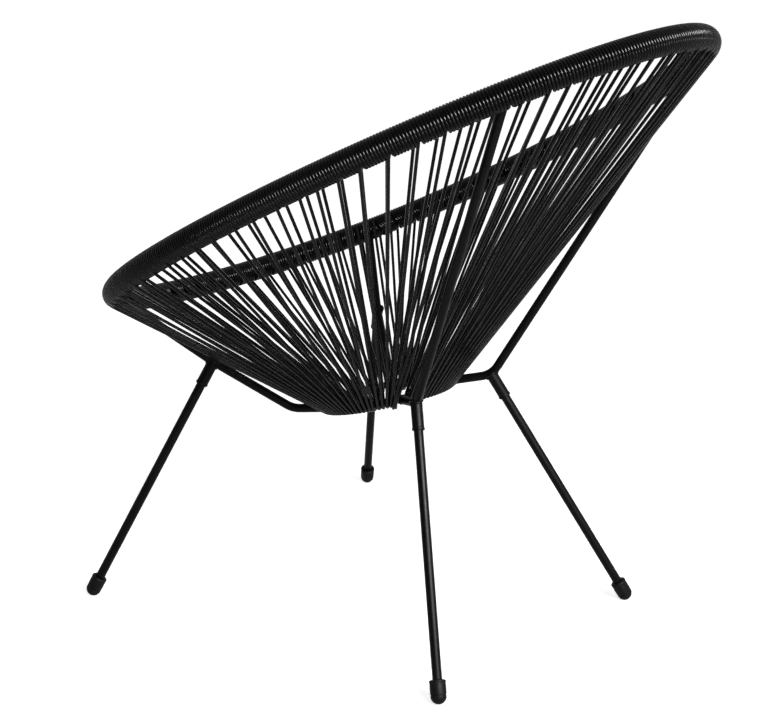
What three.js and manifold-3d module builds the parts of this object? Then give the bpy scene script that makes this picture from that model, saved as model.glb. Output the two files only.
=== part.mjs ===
// A round-backed cord chair: a tilted egg-shaped rim hoop wound with cord and strung to a hub ring below,
// carried by four bent rods with a screwed-in leg under each. Millimetres, +Z up, the sitter faces -Y.
import * as THREE from "three";
import { mergeVertices } from "three/addons/utils/BufferGeometryUtils.js";
import Module from "manifold-3d";

// Rim hoop: a centre line in its own tilted plane.
const rimTubeDiameter = 25;
const rimHalfLength = 450.1;
const rimHalfWidth = 362.9;
const rimCentreHeight = 612.4;
const rimCentreBack = 55.5;
const rimTiltDegrees = 29.42;
const rimEggShare = -0.156;
const rimFullShare = 0.022;

// Hub ring under the seat, a little higher at the back.
const hubRodDiameter = 10;
const hubRadius = 87.7;
const hubHeight = 299.8;
const hubBack = 14.6;
const hubTiltDegrees = 17;

// Bent rods. A corner is given as shares of the way from the rim joint to the hub joint, in x, y and z.
const rodDiameter = 12;
const bendRadius = 35;
const frontRimDegrees = 141.5;
const frontHubDegrees = -35.7;
const frontSocketShares = [0.463, 0.437, 0.59];
const frontElbowShares = [0.835, 0.831, 1.01];
const rearRimDegrees = 38.8;
const rearHubDegrees = 53;
const rearSocketShares = [0.818, 0.814, 0.9705];
const saddleShare = 0.4;

// Legs, each on the line from the middle of its rod to the middle of its foot.
const legDiameter = 12.7;
const legWall = 1.5;
const frontFootOut = 294.9;
const frontFootForward = 288;
const rearFootOut = 210.2;
const rearFootBack = 288.4;

// Sockets, with the nut welded in each and the stud pressed into each leg.
const socketWall = 1.35;
const socketLength = 36;
const socketRise = 3;
const socketLip = 0.6;
const socketLipLength = 3;
const nutDrop = 9;
const nutHeight = 8;
const studDiameter = 8;
const studChamfer = 1;
const studCollar = 2;
const plugLength = 14;

// Foot caps.
const capWall = 3.85;
const capLength = 31;
const capLip = 0.5;
const capLipLength = 3;
const capSole = 8;
const soleFlat = 1;
const domeSteps = 4;

// Cord: on each side of the chair it is strung in panels from front to back, with so many loops in each.
const cordDiameter = 4;
const hubArmGap = 14;
const panelGap = 0.4;
const windingGap = 0.4;
const frontLoops = [5, 5];
const sideLoops = [8, 8, 8];
const rearLoops = [8];
const rimFlatShare = 0.1875;
const hubFlatShare = 1 / 6;
const ribDip = 0.8;
const hubStepsPerPanel = 2;

// Fits and facets.
const clearance = 0.3;
const tubeSides = 12;
const fitSides = 8;
const turnedSides = 20;
const rimSides = 8;
const hubSides = 6;
const stringSides = 4;
const bendSteps = 4;
const rimSamples = 720;

const wasm = await Module();
wasm.setup();

const radians = THREE.MathUtils.degToRad;
const rimTilt = radians(rimTiltDegrees);
const hubTilt = radians(hubTiltDegrees);
const rimNormal = new THREE.Vector3(0, -Math.sin(rimTilt), Math.cos(rimTilt));
const hubNormal = new THREE.Vector3(0, -Math.sin(hubTilt), Math.cos(hubTilt));

// A closed mesh as a solid, and a solid as a mesh.
function solidOf(geometry) {
  const bare = geometry.clone();
  bare.deleteAttribute("normal");
  bare.deleteAttribute("uv");
  const merged = mergeVertices(bare);
  const vertProperties = merged.attributes.position.array;
  const triVerts = new Uint32Array(merged.index.array);
  return new wasm.Manifold(new wasm.Mesh({ numProp: 3, vertProperties, triVerts }));
}

function geometryOf(solid) {
  const mesh = solid.getMesh();
  const geometry = new THREE.BufferGeometry();
  geometry.setAttribute("position", new THREE.BufferAttribute(mesh.vertProperties, 3));
  geometry.setIndex(new THREE.BufferAttribute(mesh.triVerts, 1));
  const flat = geometry.toNonIndexed();
  flat.computeVertexNormals();
  return flat;
}

// A skin over rings of points. Each ring runs counter-clockwise about the way the rings follow each other.
function skin(rings, closed) {
  const sides = rings[0].length;
  const places = rings.flat().flatMap((p) => [p.x, p.y, p.z]);
  const faces = [];
  const spans = closed ? rings.length : rings.length - 1;
  for (let i = 0; i < spans; i++) {
    const here = i * sides;
    const next = ((i + 1) % rings.length) * sides;
    for (let j = 0; j < sides; j++) {
      const k = (j + 1) % sides;
      faces.push(here + j, here + k, next + k);
      faces.push(here + j, next + k, next + j);
    }
  }
  if (!closed) {
    const last = (rings.length - 1) * sides;
    for (let j = 1; j < sides - 1; j++) {
      faces.push(0, j + 1, j);
      faces.push(last, last + j, last + j + 1);
    }
  }
  const geometry = new THREE.BufferGeometry();
  geometry.setAttribute("position", new THREE.Float32BufferAttribute(places, 3));
  geometry.setIndex(faces);
  return geometry;
}

// A ring of points about a centre, from its first axis towards its second.
function ring(centre, first, second, radius, sides, turnShare = 0) {
  const points = [];
  for (let j = 0; j < sides; j++) {
    const angle = ((j + turnShare) / sides) * 2 * Math.PI;
    points.push(
      centre
        .clone()
        .addScaledVector(first, radius * Math.cos(angle))
        .addScaledVector(second, radius * Math.sin(angle)),
    );
  }
  return points;
}

// The radius of the corners of a polygon whose flats lie at the given radius.
function cornerRadius(radius, sides) {
  return radius / Math.cos(Math.PI / sides);
}

// The rim's centre line. The turn is 0 at the high back and half a circle at the low front.
function rimPoint(turn) {
  const along = rimHalfLength * Math.cos(turn);
  const egg = 1 + rimEggShare * Math.cos(turn) + rimFullShare * Math.cos(2 * turn);
  return new THREE.Vector3(
    rimHalfWidth * Math.sin(turn) * egg,
    rimCentreBack + along * Math.cos(rimTilt),
    rimCentreHeight + along * Math.sin(rimTilt),
  );
}

// Lengths along one half of the rim, from the middle of the front to the middle of the back.
const rimLengths = [0];
for (let i = 1; i <= rimSamples; i++) {
  const before = rimPoint(Math.PI * (1 - (i - 1) / rimSamples));
  const here = rimPoint(Math.PI * (1 - i / rimSamples));
  rimLengths.push(rimLengths[i - 1] + before.distanceTo(here));
}
const rimHalf = rimLengths[rimSamples];

// The share of that half at which the rim has a turn.
function rimShare(turn) {
  const place = (1 - turn / Math.PI) * rimSamples;
  const i = Math.floor(place);
  return THREE.MathUtils.lerp(rimLengths[i], rimLengths[i + 1], place - i) / rimHalf;
}

// The turn of the rim at a share of that half, which may run a little past either end.
function rimTurn(share) {
  if (share < 0) return 2 * Math.PI - rimTurn(-share);
  if (share > 1) return -rimTurn(2 - share);
  const length = share * rimHalf;
  let i = 1;
  while (i < rimSamples && rimLengths[i] < length) i++;
  const part = (length - rimLengths[i - 1]) / (rimLengths[i] - rimLengths[i - 1]);
  return Math.PI * (1 - (i - 1 + part) / rimSamples);
}

function rimFrame(share) {
  const turn = rimTurn(share);
  const step = Math.PI / rimSamples;
  const along = rimPoint(turn - step).sub(rimPoint(turn + step)).normalize();
  const outward = along.clone().cross(rimNormal);
  return { centre: rimPoint(turn), along, outward, down: rimNormal.clone().negate() };
}

// The hub ring's centre line, from a quarter turn back at the front to a quarter turn on at the back.
function hubFrame(angle) {
  const across = Math.cos(hubTilt);
  const rise = Math.sin(hubTilt);
  const centre = new THREE.Vector3(
    hubRadius * Math.cos(angle),
    hubBack + hubRadius * Math.sin(angle) * across,
    hubHeight + hubRadius * Math.sin(angle) * rise,
  );
  const along = new THREE.Vector3(-Math.sin(angle), Math.cos(angle) * across, Math.cos(angle) * rise);
  const outward = along.clone().cross(hubNormal);
  return { centre, along, outward, down: hubNormal.clone().negate() };
}

function hoop(frames, radius, sides, closed) {
  return skin(
    frames.map((f) => ring(f.centre, f.outward, f.down, radius, sides)),
    closed,
  );
}

// Panels of cord on one side of the chair: where each lies on the rim and on the hub ring.
const frontHub = radians(frontHubDegrees);
const rearHub = radians(rearHubDegrees);
const armHalfGap = hubArmGap / 2 / hubRadius;
const frontShare = rimShare(radians(frontRimDegrees));
const rearShare = rimShare(radians(rearRimDegrees));
const quarters = [
  { from: -Math.PI / 2, to: frontHub - armHalfGap, share: 0, shareTo: frontShare, loops: frontLoops },
  {
    from: frontHub + armHalfGap,
    to: rearHub - armHalfGap,
    share: frontShare,
    shareTo: rearShare,
    loops: sideLoops,
  },
  { from: rearHub + armHalfGap, to: Math.PI / 2, share: rearShare, shareTo: 1, loops: rearLoops },
];
const panels = [];
let loopsBefore = 0;
for (const quarter of quarters) {
  const count = quarter.loops.length;
  quarter.loops.forEach((loops, i) => {
    panels.push({
      from: THREE.MathUtils.lerp(quarter.from, quarter.to, i / count),
      to: THREE.MathUtils.lerp(quarter.from, quarter.to, (i + 1) / count),
      share: THREE.MathUtils.lerp(quarter.share, quarter.shareTo, i / count),
      shareTo: THREE.MathUtils.lerp(quarter.share, quarter.shareTo, (i + 1) / count),
      loops,
      loopsBefore,
    });
    loopsBefore += loops;
  });
}

// Stations shared by the hoops and the windings round them, so that the two stay concentric.
const rimStations = [0];
for (const panel of panels) {
  for (let i = 1; i <= panel.loops; i++) {
    rimStations.push(THREE.MathUtils.lerp(panel.share, panel.shareTo, i / panel.loops));
  }
}
const hubStations = [];
for (const panel of panels) {
  for (let i = 0; i <= hubStepsPerPanel; i++) {
    const angle = panel.from + (i / hubStepsPerPanel) * (panel.to - panel.from);
    const last = hubStations[hubStations.length - 1];
    if (!hubStations.length || angle - last > armHalfGap / hubStepsPerPanel) hubStations.push(angle);
  }
}
const rimFrames = [...rimStations, ...rimStations.slice(1, -1).map((s) => s + 1)].map((s) =>
  s > 1 ? mirroredFrame(rimFrame(2 - s)) : rimFrame(s),
);
const hubFrames = [
  ...hubStations.map(hubFrame),
  ...hubStations
    .slice(1, -1)
    .reverse()
    .map((a) => mirroredFrame(hubFrame(a))),
];

function mirroredFrame(frame) {
  const flip = new THREE.Vector3(-1, 1, 1);
  return {
    centre: frame.centre.clone().multiply(flip),
    along: frame.along.clone().multiply(flip).negate(),
    outward: frame.outward.clone().multiply(flip),
    down: frame.down.clone().multiply(flip),
  };
}

const rimRadius = rimTubeDiameter / 2;
const hubRodRadius = hubRodDiameter / 2;
const rodRadius = rodDiameter / 2;
const rimTube = hoop(rimFrames, rimRadius, tubeSides, true);
const hubRing = hoop(hubFrames, hubRodRadius, tubeSides, true);
const rimFit = solidOf(hoop(rimFrames, cornerRadius(rimRadius + clearance, fitSides), fitSides, true));
const hubFit = solidOf(hoop(hubFrames, cornerRadius(hubRodRadius + clearance, fitSides), fitSides, true));

// A line through corners, each rounded to the bend radius, with its stations where the line turns.
class BentLine extends THREE.Curve {
  constructor(corners) {
    super();
    this.stations = [corners[0]];
    for (let i = 1; i < corners.length - 1; i++) {
      const inward = corners[i].clone().sub(corners[i - 1]).normalize();
      const onward = corners[i + 1].clone().sub(corners[i]).normalize();
      const bend = inward.angleTo(onward);
      const start = corners[i].clone().addScaledVector(inward, -bendRadius * Math.tan(bend / 2));
      const side = onward.clone().addScaledVector(inward, -onward.dot(inward)).normalize();
      const middle = start.clone().addScaledVector(side, bendRadius);
      for (let j = 0; j <= bendSteps; j++) {
        const angle = (j / bendSteps) * bend;
        this.stations.push(
          middle
            .clone()
            .addScaledVector(side, -bendRadius * Math.cos(angle))
            .addScaledVector(inward, bendRadius * Math.sin(angle)),
        );
      }
    }
    this.stations.push(corners[corners.length - 1]);
  }
  getPoint(t, target = new THREE.Vector3()) {
    const place = t * (this.stations.length - 1);
    const i = Math.min(Math.floor(place), this.stations.length - 2);
    return target.lerpVectors(this.stations[i], this.stations[i + 1], place - i);
  }
  getUtoTmapping(u) {
    return u;
  }
}

function tubeAlong(line, radius, sides) {
  const section = new THREE.Shape();
  for (let j = 0; j < sides; j++) {
    const angle = (j / sides) * 2 * Math.PI;
    const x = radius * Math.cos(angle);
    const y = radius * Math.sin(angle);
    if (j === 0) section.moveTo(x, y);
    else section.lineTo(x, y);
  }
  section.closePath();
  const steps = line.stations.length - 1;
  return new THREE.ExtrudeGeometry(section, { steps, extrudePath: line, bevelEnabled: false });
}

function between(from, to, shares) {
  return new THREE.Vector3(
    THREE.MathUtils.lerp(from.x, to.x, shares[0]),
    THREE.MathUtils.lerp(from.y, to.y, shares[1]),
    THREE.MathUtils.lerp(from.z, to.z, shares[2]),
  );
}

// One bent rod, with the corner that carries its leg and the space that it needs in what it passes.
function bentRod(rimDegrees, hubAngle, shareTables) {
  const top = rimPoint(radians(rimDegrees));
  const foot = hubFrame(hubAngle).centre;
  const corners = shareTables.map((shares) => between(top, foot, shares));
  const last = corners[corners.length - 1];
  const inward = foot.clone().sub(last).normalize();
  const seat = foot.clone().addScaledVector(inward, -hubRodDiameter * saddleShare);
  const line = new BentLine([top, ...corners, seat]);
  const whole = solidOf(tubeAlong(line, rodRadius, tubeSides));
  const fit = solidOf(tubeAlong(line, cornerRadius(rodRadius + clearance, fitSides), fitSides));
  return { corner: corners[0], fit, solid: whole.subtract(rimFit).subtract(hubFit) };
}

const frontRod = bentRod(frontRimDegrees, frontHub, [frontSocketShares, frontElbowShares]);
const rearRod = bentRod(rearRimDegrees, rearHub, [rearSocketShares]);

// A piece turned about the leg's line, its profile given as radius and distance down from the rod's middle.
function turned(profile, leg) {
  const points = profile.map(([r, h]) => new THREE.Vector2(r, h));
  const geometry = new THREE.LatheGeometry(points, turnedSides);
  geometry.rotateX(Math.PI / 2);
  const turn = new THREE.Quaternion().setFromUnitVectors(new THREE.Vector3(0, 0, 1), leg.down);
  geometry.applyQuaternion(turn);
  geometry.translate(leg.top.x, leg.top.y, leg.top.z);
  return geometry;
}

const legRadius = legDiameter / 2;
const legBore = legRadius - legWall;
const socketBore = legRadius + clearance;
const socketRadius = socketBore + socketWall;
const nutEnd = nutDrop + nutHeight;
const collarTop = nutEnd + clearance;
const legTop = collarTop + studCollar + clearance;
const capBore = legRadius + clearance;
const capRadius = capBore + capWall;

// A leg with its socket, nut, stud and cap, under one rod.
function legPieces(rod, foot) {
  const down = foot.clone().sub(rod.corner);
  const length = down.length();
  down.normalize();
  const leg = { top: rod.corner, down };
  const domeCentre = length - (capRadius - soleFlat) / -down.z;
  const capOpen = domeCentre + capRadius - capLength;
  const capFloor = domeCentre + capRadius - capSole;

  const socketProfile = [
    [socketRadius, -socketRise],
    [socketRadius, socketLength - socketLipLength],
    [socketRadius + socketLip, socketLength - socketLipLength + socketLip],
    [socketRadius + socketLip, socketLength],
    [socketBore, socketLength],
    [socketBore, -socketRise],
    [socketRadius, -socketRise],
  ];
  const nutRadius = socketBore - clearance;
  const nutBore = studDiameter / 2 + clearance;
  const nutProfile = [
    [nutRadius, nutDrop],
    [nutRadius, nutEnd],
    [nutBore, nutEnd],
    [nutBore, nutDrop],
    [nutRadius, nutDrop],
  ];
  const studRadius = studDiameter / 2;
  const plugRadius = legBore - clearance;
  const plugStart = collarTop + studCollar;
  const studProfile = [
    [0, nutDrop],
    [studRadius - studChamfer, nutDrop],
    [studRadius, nutDrop + studChamfer],
    [studRadius, collarTop],
    [legRadius, collarTop],
    [legRadius, plugStart],
    [plugRadius, plugStart],
    [plugRadius, plugStart + plugLength],
    [0, plugStart + plugLength],
  ];
  const legEnd = capFloor - clearance;
  const legProfile = [
    [legRadius, legTop],
    [legRadius, legEnd],
    [legBore, legEnd],
    [legBore, legTop],
    [legRadius, legTop],
  ];
  const capProfile = [
    [0, capFloor],
    [capBore, capFloor],
    [capBore, capOpen],
    [capRadius + capLip, capOpen],
    [capRadius + capLip, capOpen + capLipLength],
    [capRadius, capOpen + capLipLength + capLip],
    [capRadius, domeCentre],
  ];
  for (let i = 1; i < domeSteps; i++) {
    const angle = (i / domeSteps) * (Math.PI / 2);
    capProfile.push([capRadius * Math.cos(angle), domeCentre + capRadius * Math.sin(angle)]);
  }
  capProfile.push([0, domeCentre + capRadius]);

  const ground = new THREE.BoxGeometry(capLength * 2, capLength * 2, capLength);
  ground.translate(foot.x, foot.y, -capLength / 2);
  return {
    socket: solidOf(turned(socketProfile, leg)).subtract(rod.fit),
    nut: solidOf(turned(nutProfile, leg)),
    stud: solidOf(turned(studProfile, leg)),
    leg: solidOf(turned(legProfile, leg)),
    cap: solidOf(turned(capProfile, leg)).subtract(solidOf(ground)),
  };
}

// One panel of cord: its share of the rim winding, its strings and its share of the hub winding, as one skin.
// The windings turn with the strings, so that each string leaves the middle of one flat of a winding.
const windingRadius = rimRadius + cordDiameter;
const hubWindingRadius = hubRodRadius + cordDiameter;
const stringLines = [];

function panelPlace(panel, rimPart, hubPart) {
  return {
    rim: rimFrame(panel.share + rimPart * (panel.shareTo - panel.share)),
    hub: hubFrame(panel.from + hubPart * (panel.to - panel.from)),
  };
}

// A winding's section, with its first corners turned towards the other end of the strings.
function windingRing(frame, other, radius, sides, turnShare) {
  const toward = other.centre.clone().sub(frame.centre);
  toward.addScaledVector(frame.along, -toward.dot(frame.along)).normalize();
  return ring(frame.centre, toward, frame.along.clone().cross(toward), radius, sides, turnShare);
}

// The flat of a winding at a number of sides round from the strings, on the sitter's side or below.
function flatIndex(frame, other, upward, flatShare, sides, turnShare, upper) {
  const across = frame.along.clone().cross(other.centre.clone().sub(frame.centre));
  const turn = across.dot(upward) > 0 === upper ? flatShare : 1 - flatShare;
  return Math.round(turn * sides - 1 / 2 - turnShare);
}

class Skin {
  places = [];
  faces = [];

  point(p) {
    this.places.push(p.x, p.y, p.z);
    return this.places.length / 3 - 1;
  }

  quad(a, b, c, d) {
    this.faces.push(a, b, c, a, c, d);
  }

  // A wall between an outer and an inner run of rings, open where a string leaves it.
  wall(outer, inner, holes) {
    const index = (rings) => rings.map((points) => points.map((p) => this.point(p)));
    const outside = index(outer);
    const inside = index(inner);
    const sides = outer[0].length;
    for (let j = 0; j < sides; j++) {
      const k = (j + 1) % sides;
      for (let i = 0; i + 1 < outside.length; i++) {
        const flat = [outside[i][j], outside[i][k], outside[i + 1][k], outside[i + 1][j]];
        const hole = holes.get(i * sides + j);
        if (hole) this.frame(flat, hole);
        else this.quad(...flat);
      }
      for (let i = 0; i + 1 < inside.length; i++) {
        this.quad(inside[i][j], inside[i + 1][j], inside[i + 1][k], inside[i][k]);
      }
      const last = outside.length - 1;
      const end = inside.length - 1;
      this.quad(outside[0][k], outside[0][j], inside[0][j], inside[0][k]);
      this.quad(outside[last][j], outside[last][k], inside[end][k], inside[end][j]);
    }
  }

  at(i) {
    return new THREE.Vector3().fromArray(this.places, i * 3);
  }

  // The faces between a flat and the hole in it, each corner joined to the nearest one.
  frame(flat, hole) {
    let best = 0;
    let least = Infinity;
    for (let turn = 0; turn < 4; turn++) {
      let sum = 0;
      for (let i = 0; i < 4; i++) sum += this.at(flat[i]).distanceTo(this.at(hole[(i + turn) % 4]));
      if (sum < least) {
        least = sum;
        best = turn;
      }
    }
    for (let i = 0; i < 4; i++) {
      const k = (i + 1) % 4;
      this.quad(flat[i], flat[k], hole[(k + best) % 4], hole[(i + best) % 4]);
    }
  }

  solid() {
    const geometry = new THREE.BufferGeometry();
    geometry.setAttribute("position", new THREE.Float32BufferAttribute(this.places, 3));
    geometry.setIndex(this.faces);
    return solidOf(geometry);
  }
}

// The middle and the normal of one flat between two rings.
function flatOf(rings, i, j) {
  const k = (j + 1) % rings[i].length;
  const corners = [rings[i][j], rings[i][k], rings[i + 1][k], rings[i + 1][j]];
  const middle = new THREE.Vector3();
  for (const c of corners) middle.addScaledVector(c, 1 / 4);
  const across = corners[2].clone().sub(corners[0]);
  const normal = across.cross(corners[3].clone().sub(corners[1])).normalize();
  return { middle, normal };
}

function panelSolid(panel) {
  const rimTrim = panelGap / 2 / rimHalf / (panel.shareTo - panel.share);
  const hubTrim = panelGap / 2 / hubRadius / (panel.to - panel.from);
  const trimmed = (i, count, trim) => i / count + (i === 0 ? trim : i === count ? -trim : 0);
  const rimOuter = [];
  const rimInner = [];
  const hubOuter = [];
  const hubInner = [];
  for (let i = 0; i <= panel.loops; i++) {
    const place = panelPlace(panel, trimmed(i, panel.loops, rimTrim), trimmed(i, panel.loops, hubTrim));
    const { rim, hub } = place;
    const dip = (panel.loopsBefore + i) % 2 === 0 ? ribDip : 0;
    rimInner.push(windingRing(rim, hub, cornerRadius(rimRadius + windingGap, rimSides), rimSides, 0));
    rimOuter.push(windingRing(rim, hub, windingRadius - dip, rimSides, 0));
    hubOuter.push(windingRing(hub, rim, hubWindingRadius, hubSides, 1 / 2));
  }
  for (let i = 0; i <= hubStepsPerPanel; i++) {
    const part = trimmed(i, hubStepsPerPanel, hubTrim);
    const { rim, hub } = panelPlace(panel, part, part);
    hubInner.push(windingRing(hub, rim, cornerRadius(hubRodRadius + windingGap, hubSides), hubSides, 1 / 2));
  }
  const body = new Skin();
  const rimHoles = new Map();
  const hubHoles = new Map();
  for (let i = 0; i < panel.loops * 2; i++) {
    const loop = Math.floor(i / 2);
    const upper = i % 2 === 0;
    const part = (loop + 1 / 2) / panel.loops;
    const { rim, hub } = panelPlace(panel, part, part);
    const rimFlat = flatIndex(rim, hub, rimNormal, rimFlatShare, rimSides, 0, upper);
    const hubFlat = flatIndex(hub, rim, hubNormal, hubFlatShare, hubSides, 1 / 2, upper);
    const start = flatOf(rimOuter, loop, rimFlat);
    const end = flatOf(hubOuter, loop, hubFlat);
    const along = end.middle.clone().sub(start.middle).normalize();
    const first = start.normal.clone().addScaledVector(along, -start.normal.dot(along)).normalize();
    const second = along.clone().cross(first);
    const [from, to] = [start, end].map(({ middle, normal }) =>
      ring(middle, first, second, cordDiameter / 2, stringSides, 1 / 2).map((corner) => {
        const height = corner.clone().sub(middle).dot(normal);
        return body.point(corner.addScaledVector(along, -height / normal.dot(along)));
      }),
    );
    for (let j = 0; j < stringSides; j++) {
      const k = (j + 1) % stringSides;
      body.quad(from[j], from[k], to[k], to[j]);
    }
    rimHoles.set(loop * rimSides + rimFlat, from);
    hubHoles.set(loop * hubSides + hubFlat, [...to].reverse());
    stringLines.push([start.middle, end.middle]);
  }
  body.wall(rimOuter, rimInner, rimHoles);
  body.wall(hubOuter, hubInner, hubHoles);
  return body.solid().subtract(frontRod.fit).subtract(rearRod.fit);
}

const coat = { color: 0x141414, roughness: 0.42, metalness: 0.35 };
const vinyl = { color: 0x1d1b1a, roughness: 0.45, metalness: 0 };
const rubber = { color: 0x101010, roughness: 0.7, metalness: 0 };
const zinc = { color: 0xb4b6b8, roughness: 0.35, metalness: 1 };

const chair = new THREE.Group();
const left = new THREE.Group();
const right = new THREE.Group();
right.scale.x = -1;
chair.add(left, right);

function place(group, name, geometry, look) {
  const mesh = new THREE.Mesh(geometry, new THREE.MeshStandardMaterial(look));
  mesh.name = name;
  group.add(mesh);
}

place(chair, "rim_tube", geometryOf(solidOf(rimTube)), coat);
place(chair, "hub_ring", geometryOf(solidOf(hubRing)), coat);
const frontFoot = new THREE.Vector3(frontFootOut, -frontFootForward, 0);
const rearFoot = new THREE.Vector3(rearFootOut, rearFootBack, 0);
const frontLeg = legPieces(frontRod, frontFoot);
const rearLeg = legPieces(rearRod, rearFoot);
const cordPanels = panels.map(panelSolid);
for (const [side, group] of [
  ["left", left],
  ["right", right],
]) {
  for (const [end, rod, pieces] of [
    ["front", frontRod, frontLeg],
    ["rear", rearRod, rearLeg],
  ]) {
    place(group, end + "_rod_" + side, geometryOf(rod.solid), coat);
    place(group, end + "_socket_" + side, geometryOf(pieces.socket), coat);
    place(group, end + "_nut_" + side, geometryOf(pieces.nut), zinc);
    place(group, end + "_stud_" + side, geometryOf(pieces.stud), zinc);
    place(group, end + "_leg_" + side, geometryOf(pieces.leg), coat);
    place(group, end + "_cap_" + side, geometryOf(pieces.cap), rubber);
  }
  cordPanels.forEach((solid, i) => {
    place(group, "cord_panel_" + side + "_" + (i + 1), geometryOf(solid), vinyl);
  });
}

// The least gap between two strings, measured between points along each.
function leastStringGap() {
  const steps = 60;
  const lines = stringLines.map(([a, b]) =>
    Array.from({ length: steps + 1 }, (_, i) => a.clone().lerp(b, i / steps)),
  );
  let least = Infinity;
  for (let i = 0; i < lines.length; i++) {
    for (let j = i + 1; j < Math.min(i + 4, lines.length); j++) {
      for (const p of lines[i]) {
        for (const q of lines[j]) least = Math.min(least, p.distanceTo(q));
      }
    }
  }
  return least - cordDiameter;
}
console.log("least gap between strings: " + leastStringGap().toFixed(2) + " mm");

const box = new THREE.Box3().setFromObject(chair, true);
chair.position.y = -(box.min.y + box.max.y) / 2;
const model = new THREE.Group();
model.add(chair);
export default model;
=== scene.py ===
"""A round-backed cord chair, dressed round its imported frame. Metres, +Z up, the sitter faces -Y."""

import math

import bmesh
import bpy
import numpy as np
from mathutils import Matrix, Vector


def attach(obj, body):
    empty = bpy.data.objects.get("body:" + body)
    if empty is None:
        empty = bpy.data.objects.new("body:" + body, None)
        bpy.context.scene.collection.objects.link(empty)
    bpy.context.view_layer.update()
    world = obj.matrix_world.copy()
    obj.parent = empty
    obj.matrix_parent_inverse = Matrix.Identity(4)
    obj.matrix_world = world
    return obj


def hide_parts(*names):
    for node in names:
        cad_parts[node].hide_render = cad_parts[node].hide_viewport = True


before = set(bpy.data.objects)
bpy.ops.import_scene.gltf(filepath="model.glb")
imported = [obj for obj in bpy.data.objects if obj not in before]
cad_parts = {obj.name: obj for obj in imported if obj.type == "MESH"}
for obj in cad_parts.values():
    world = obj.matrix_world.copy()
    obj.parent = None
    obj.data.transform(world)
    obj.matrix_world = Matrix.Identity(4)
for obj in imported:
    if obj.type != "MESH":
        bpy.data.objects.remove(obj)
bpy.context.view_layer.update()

# How far the chair moves along Y, toward its front, so that the middle of its box lies at zero. The
# chair's places below are given before this move, the camera's place after it.
CHAIR_SHIFT = -0.055906

# The rim hoop's centre line, in its own tilted plane.
RIM_TUBE_DIAMETER = 0.025
RIM_HALF_LENGTH = 0.4501
RIM_HALF_WIDTH = 0.3629
RIM_CENTRE_HEIGHT = 0.6124
RIM_CENTRE_BACK = 0.0555
RIM_TILT = math.radians(29.42)
RIM_EGG_SHARE = -0.156
RIM_FULL_SHARE = 0.022

# The hub ring.
HUB_ROD_DIAMETER = 0.010
HUB_RADIUS = 0.0877
HUB_HEIGHT = 0.2998
HUB_BACK = 0.0146
HUB_TILT = math.radians(17)

# Where the rods meet the rim and the hub ring, and the room that the loops leave a rod on the ring.
FRONT_RIM_TURN = math.radians(141.5)
REAR_RIM_TURN = math.radians(38.8)
FRONT_HUB_TURN = math.radians(-35.7)
REAR_HUB_TURN = math.radians(53)
HUB_ROD_ROOM = 0.014

# The bent rods. A corner is given as shares of the way from the rim joint to the hub joint, in x, y and z.
ROD_DIAMETER = 0.012
BEND_RADIUS = 0.035
BEND_STEPS = 14
FRONT_CORNER_SHARES = ((0.463, 0.437, 0.59), (0.835, 0.831, 1.01))
REAR_CORNER_SHARES = ((0.818, 0.814, 0.9705),)

# How far a rod's end sinks into the rim's tube, and how far its other end stays short of the ring's
# centre line, as a share of the ring's thickness.
ROD_RIM_SINK = 0.0012
ROD_HUB_SHORT_SHARE = 0.4

# The legs, with the socket at the top of each and the cap at its foot. A leg's line runs from the first
# corner of its rod to its foot, and the leg's top is measured along it.
LEG_DIAMETER = 0.0127
LEG_WALL = 0.0015
LEG_TOP = 0.0196
FRONT_FOOT = (0.2949, -0.2880)
REAR_FOOT = (0.2102, 0.2884)
CLEARANCE = 0.0003
SOCKET_WALL = 0.00135
SOCKET_LENGTH = 0.036
SOCKET_RISE = 0.003
SOCKET_LIP = 0.0006
SOCKET_LIP_LENGTH = 0.003
CAP_WALL = 0.00385
CAP_LENGTH = 0.031
CAP_SOLE = 0.008
CAP_LIP = 0.0005
CAP_LIP_LENGTH = 0.003
CAP_SHOULDER = 0.0024
CAP_GROOVE = 0.0007
CAP_GROOVE_DROP = 0.0010
CAP_BULGE_SHARE = 0.4
SOLE_FLAT = 0.001
CAP_SHOULDER_STEPS = 7
CAP_DOME_STEPS = 9

# The beads of weld where the sockets meet their rods and round the rods' ends on the hub ring.
WELD_DIAMETER = 0.0034
WELD_SIDES = 12
SOCKET_WELD_STEPS = 48
SOCKET_WELD_REACH = 0.014
SOCKET_WELD_SEARCH = 0.0002
ROD_WELD_STEPS = 32
ROD_WELD_OUT = 0.0068
ROD_WELD_INSET = 0.0006

# How finely the round pieces are made, and how much their edges are eased.
ROUND_SIDES = 32
RING_STEPS = 128
EDGE_EASE = 0.0004
CAP_EDGE_EASE = 0.0002
EASE_SHARES = (0, 0.25, 0.5, 0.75, 1)
MERGE_DISTANCE = 1e-7
SHARP_EDGE = math.radians(50)

# The cord, and how it is strung on each side from front to back: the turns round the rim from one
# loop to the next, and the loops in each panel.
CORD_DIAMETER = 0.0043
CORD_SIDES = 12
TURNS_BEFORE_FIRST = 3.5
FRONT_TURNS = (8, 7, 8, 8, 7, 8, 7, 8)
FRONT_JOINT_TURNS = 7
SIDE_TURNS = (7, 7, 7, 7, 7, 8, 6, 8, 8, 7, 7, 8, 9, 7, 9, 8, 6, 7, 7, 9, 9, 8, 8, 6)
REAR_JOINT_TURNS = 8
REAR_TURNS = (8, 6, 7, 6, 7, 7, 8)
TURNS_BETWEEN_LOOPS = (*FRONT_TURNS, FRONT_JOINT_TURNS, *SIDE_TURNS, REAR_JOINT_TURNS, *REAR_TURNS)
TURNS_PER_SIDE = sum(TURNS_BETWEEN_LOOPS) + 2 * TURNS_BEFORE_FIRST
PANEL_LOOPS = (5, 4, 9, 8, 8, 8)

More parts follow.
